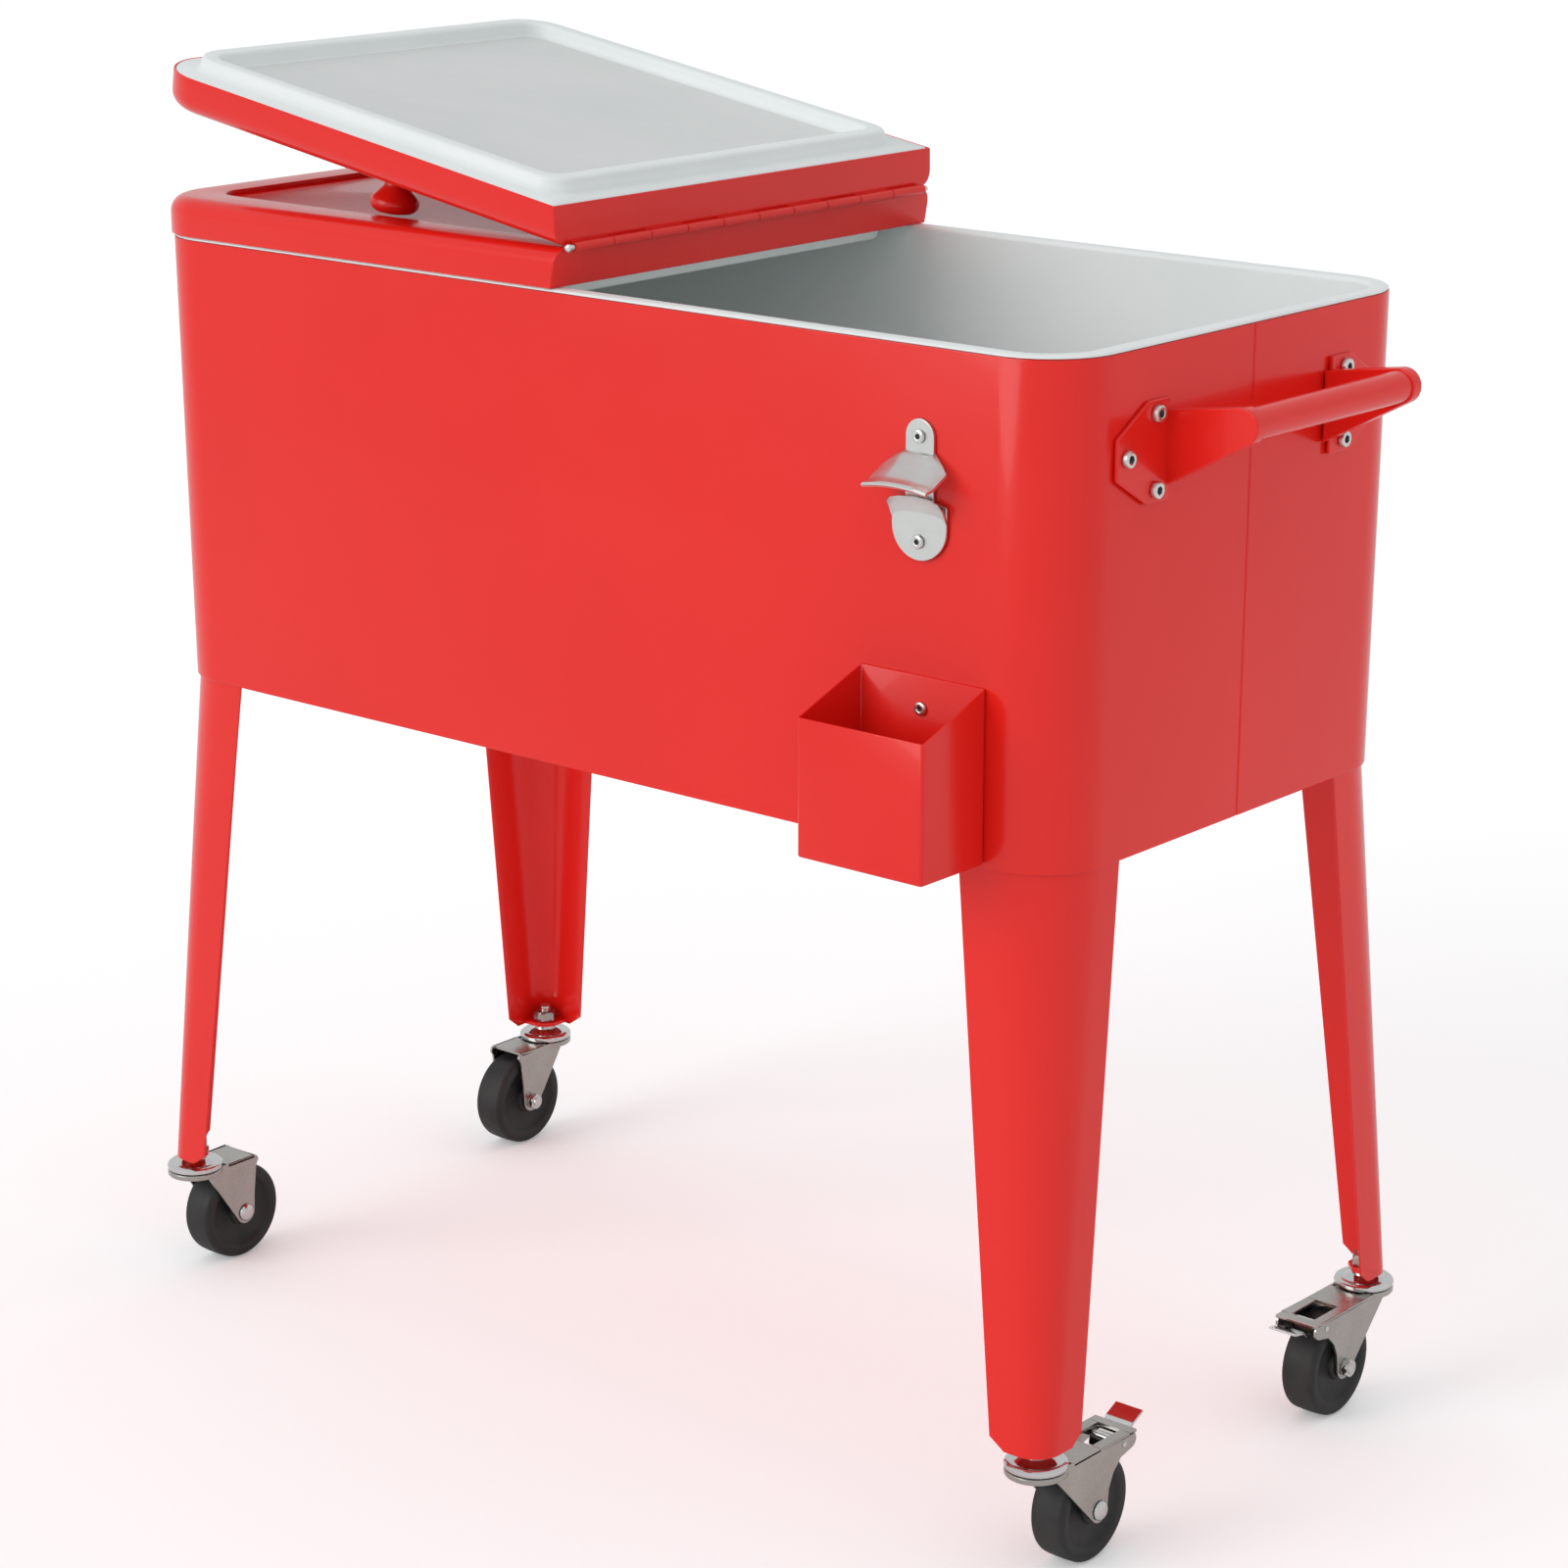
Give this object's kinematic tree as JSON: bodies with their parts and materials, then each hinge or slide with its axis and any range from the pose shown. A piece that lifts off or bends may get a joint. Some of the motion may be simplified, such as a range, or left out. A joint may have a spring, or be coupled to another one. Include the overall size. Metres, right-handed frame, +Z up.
{
  "type": "rolling patio cooler",
  "caption": "Insulated steel ice chest on tapered legs and swivel casters, with a folding lid, end handles, a bottle opener and a cap bin.",
  "frame": {"origin": "centre of the bounding box, on the floor under the wheels", "axes": "+X along the chest towards its braked end, +Y to the back, +Z up"},
  "size_m": [0.9616, 0.4758, 0.9312],
  "materials": {
    "red_paint": "gloss powder coat",
    "white_plastic": "satin",
    "foam": "rigid foam",
    "nickel": "bright nickel plate",
    "satin_steel": "satin",
    "rubber": "matt black"
  },
  "bodies": {
    "chest": {"body_shell": "red_paint", "bottom_panel": "red_paint", "tub_liner": "white_plastic", "insulation": "foam", "drain_fitting": "white_plastic", "leg_front_left": "red_paint", "caster_stem_front_left": "nickel", "stem_nut_front_left": "nickel", "leg_front_right": "red_paint", "caster_stem_front_right": "nickel", "stem_nut_front_right": "nickel", "leg_rear_left": "red_paint", "caster_stem_rear_left": "nickel", "stem_nut_rear_left": "nickel", "leg_rear_right": "red_paint", "caster_stem_rear_right": "nickel", "stem_nut_rear_right": "nickel", "bottle_opener": "satin_steel", "opener_screw_1": "satin_steel", "opener_screw_2": "satin_steel", "cap_catcher": "red_paint", "catcher_screw_1": "satin_steel", "catcher_screw_2": "satin_steel", "right_handle_bracket_front": "red_paint", "right_handle_bracket_back": "red_paint", "right_handle_bar": "red_paint", "left_handle_bracket_front": "red_paint", "left_handle_bracket_back": "red_paint", "left_handle_bar": "red_paint", "right_handle_screw_1": "satin_steel", "right_handle_screw_2": "satin_steel", "right_handle_screw_3": "satin_steel", "right_handle_screw_4": "satin_steel", "right_handle_screw_5": "satin_steel", "right_handle_screw_6": "satin_steel"},
    "drain_cap": {"drain_cap": "white_plastic"},
    "left_lid": {"left_lid_shell": "red_paint", "left_lid_liner": "white_plastic", "left_lid_foam": "foam", "left_lid_knob": "red_paint", "hinge_pin": "satin_steel"},
    "right_lid": {"right_lid_shell": "red_paint", "right_lid_liner": "white_plastic", "right_lid_foam": "foam", "right_lid_knob": "red_paint"},
    "fork_front_left": {"caster_fork_front_left": "nickel", "axle_front_left": "nickel"},
    "wheel_front_left": {"wheel_front_left": "rubber"},
    "fork_front_right": {"caster_fork_front_right": "nickel", "axle_front_right": "nickel"},
    "wheel_front_right": {"wheel_front_right": "rubber"},
    "fork_rear_left": {"caster_fork_rear_left": "nickel", "axle_rear_left": "nickel"},
    "wheel_rear_left": {"wheel_rear_left": "rubber"},
    "fork_rear_right": {"caster_fork_rear_right": "nickel", "axle_rear_right": "nickel"},
    "wheel_rear_right": {"wheel_rear_right": "rubber"},
    "pedal_front_right": {"brake_pedal_front_right": "nickel"},
    "pedal_rear_right": {"brake_pedal_rear_right": "nickel"}
  },
  "joints": [
    {"name": "drain_cap_turn", "type": "hinge", "parent": "chest", "child": "drain_cap", "pos_m": [-0.3, 0.02125, 0.46], "axis": [0, 0, 1], "range_deg": [0, 360]},
    {"name": "lid_lift_off", "type": "slide", "parent": "chest", "child": "left_lid", "axis": [0, 0, 1], "range_m": [0, 0.25]},
    {"name": "right_lid_close", "type": "hinge", "parent": "left_lid", "child": "right_lid", "pos_m": [0, 0.02125, 0.8299], "axis": [0, 1, 0], "range_deg": [0, 170.6]},
    {"name": "swivel_front_left", "type": "hinge", "parent": "chest", "child": "fork_front_left", "pos_m": [-0.404, -0.17415, 0.08], "axis": [0, 0, 1], "continuous": true},
    {"name": "roll_front_left", "type": "hinge", "parent": "fork_front_left", "child": "wheel_front_left", "pos_m": [-0.404, -0.13935, 0.0375], "axis": [1, 0, 0], "continuous": true},
    {"name": "swivel_front_right", "type": "hinge", "parent": "chest", "child": "fork_front_right", "pos_m": [0.404, -0.17415, 0.08], "axis": [0, 0, 1], "continuous": true},
    {"name": "roll_front_right", "type": "hinge", "parent": "fork_front_right", "child": "wheel_front_right", "pos_m": [0.404, -0.12615, 0.0375], "axis": [1, 0, 0], "continuous": true},
    {"name": "swivel_rear_left", "type": "hinge", "parent": "chest", "child": "fork_rear_left", "pos_m": [-0.404, 0.21665, 0.08], "axis": [0, 0, 1], "continuous": true},
    {"name": "roll_rear_left", "type": "hinge", "parent": "fork_rear_left", "child": "wheel_rear_left", "pos_m": [-0.404, 0.18185, 0.0375], "axis": [1, 0, 0], "continuous": true},
    {"name": "swivel_rear_right", "type": "hinge", "parent": "chest", "child": "fork_rear_right", "pos_m": [0.404, 0.21665, 0.08], "axis": [0, 0, 1], "continuous": true},
    {"name": "roll_rear_right", "type": "hinge", "parent": "fork_rear_right", "child": "wheel_rear_right", "pos_m": [0.404, 0.16865, 0.0375], "axis": [1, 0, 0], "continuous": true},
    {"name": "brake_front_right", "type": "hinge", "parent": "fork_front_right", "child": "pedal_front_right", "pos_m": [0.404, -0.10015, 0.0753], "axis": [-1, 0, 0], "range_deg": [0, 15]},
    {"name": "brake_rear_right", "type": "hinge", "parent": "fork_rear_right", "child": "pedal_rear_right", "pos_m": [0.404, 0.14265, 0.0753], "axis": [-1, 0, 0], "range_deg": [0, 15]}
  ]
}
